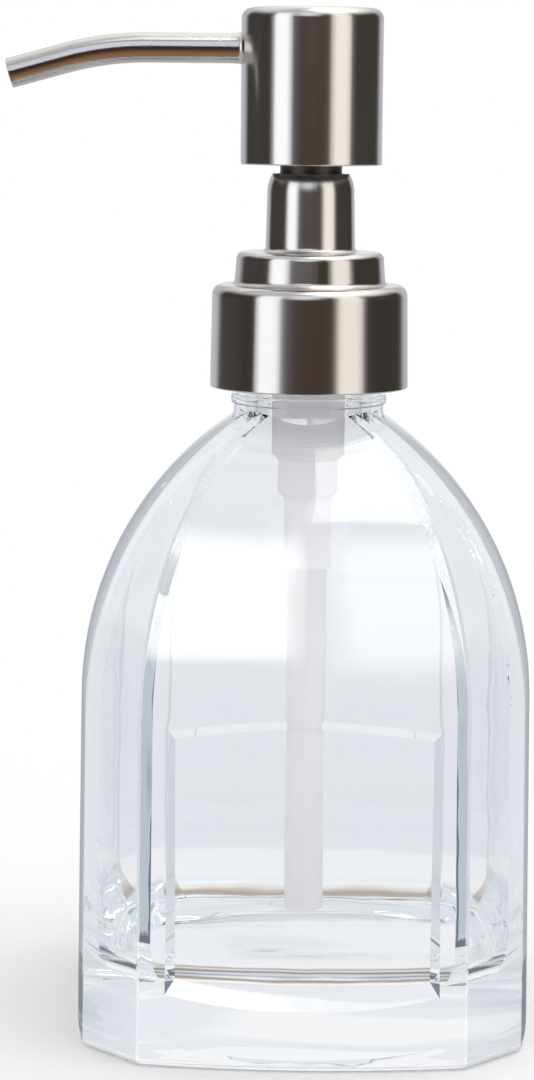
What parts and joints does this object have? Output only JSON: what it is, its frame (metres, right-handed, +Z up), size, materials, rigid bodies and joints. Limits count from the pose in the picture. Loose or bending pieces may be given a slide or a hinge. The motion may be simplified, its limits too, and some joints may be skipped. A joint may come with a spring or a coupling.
{
  "type": "pump dispenser bottle",
  "caption": "Clear glass bottle with bowed faces, cut corners and a recessed front panel, closed by a screw-on brushed steel soap pump with a thin bent spout.",
  "frame": {"origin": "centre of the bottle's flat foot, on the axis of the neck and pump", "axes": "+Z up along the neck and pump axis, recessed front panel facing -Y, spout pointing to -X at rest"},
  "size_m": [0.0919, 0.0792, 0.1744],
  "materials": {
    "clear_glass": "polished, clear",
    "brushed_steel": "fine satin brushed",
    "spring_steel": "bright drawn wire and ground balls",
    "white_plastic": "moulded, satin",
    "milky_plastic": "moulded, milky translucent",
    "seal_rubber": "soft, matt"
  },
  "bodies": {
    "bottle": {"glass_bottle": "clear_glass"},
    "pump_unit": {"pump_housing": "milky_plastic", "chaplet": "white_plastic", "stem_wiper": "seal_rubber", "neck_gasket": "seal_rubber", "dip_tube": "milky_plastic", "return_spring": "spring_steel", "ball_cage": "white_plastic"},
    "collar": {"collar_shell": "brushed_steel", "thread_ring": "white_plastic"},
    "plunger": {"piston_seal": "seal_rubber"},
    "head": {"stem": "white_plastic", "stem_tip": "white_plastic", "stem_sleeve": "brushed_steel", "head_core": "white_plastic", "head_shell": "brushed_steel", "spout_tube": "brushed_steel", "spout_seal": "seal_rubber"},
    "inlet_ball": {"inlet_ball": "spring_steel"},
    "outlet_ball": {"outlet_ball": "spring_steel"}
  },
  "joints": [
    {"name": "pump_rise", "type": "slide", "parent": "bottle", "child": "pump_unit", "axis": [0, 0, 1], "range_m": [0, 0.00635]},
    {"name": "collar_unscrew", "type": "hinge", "parent": "pump_unit", "child": "collar", "pos_m": [0, 0, 0.1186], "axis": [0, 0, 1], "range_deg": [0, 540]},
    {"name": "head_press", "type": "slide", "parent": "pump_unit", "child": "plunger", "axis": [0, 0, 1], "range_m": [-0.013, 0], "stiffness_N_per_m": 600, "springref_m": 0.012, "deforming": ["return_spring"]},
    {"name": "head_swivel", "type": "hinge", "parent": "plunger", "child": "head", "pos_m": [0, 0, 0.16], "axis": [0, 0, 1], "continuous": true},
    {"name": "inlet_lift", "type": "slide", "parent": "pump_unit", "child": "inlet_ball", "axis": [0, 0, 1], "range_m": [0, 0.0025]},
    {"name": "outlet_lift", "type": "slide", "parent": "head", "child": "outlet_ball", "axis": [0, 0, 1], "range_m": [0, 0.0018]}
  ],
  "couplings": [
    {"joint": "collar_unscrew", "follows": "pump_rise", "rad_per_m": 1484.3}
  ]
}
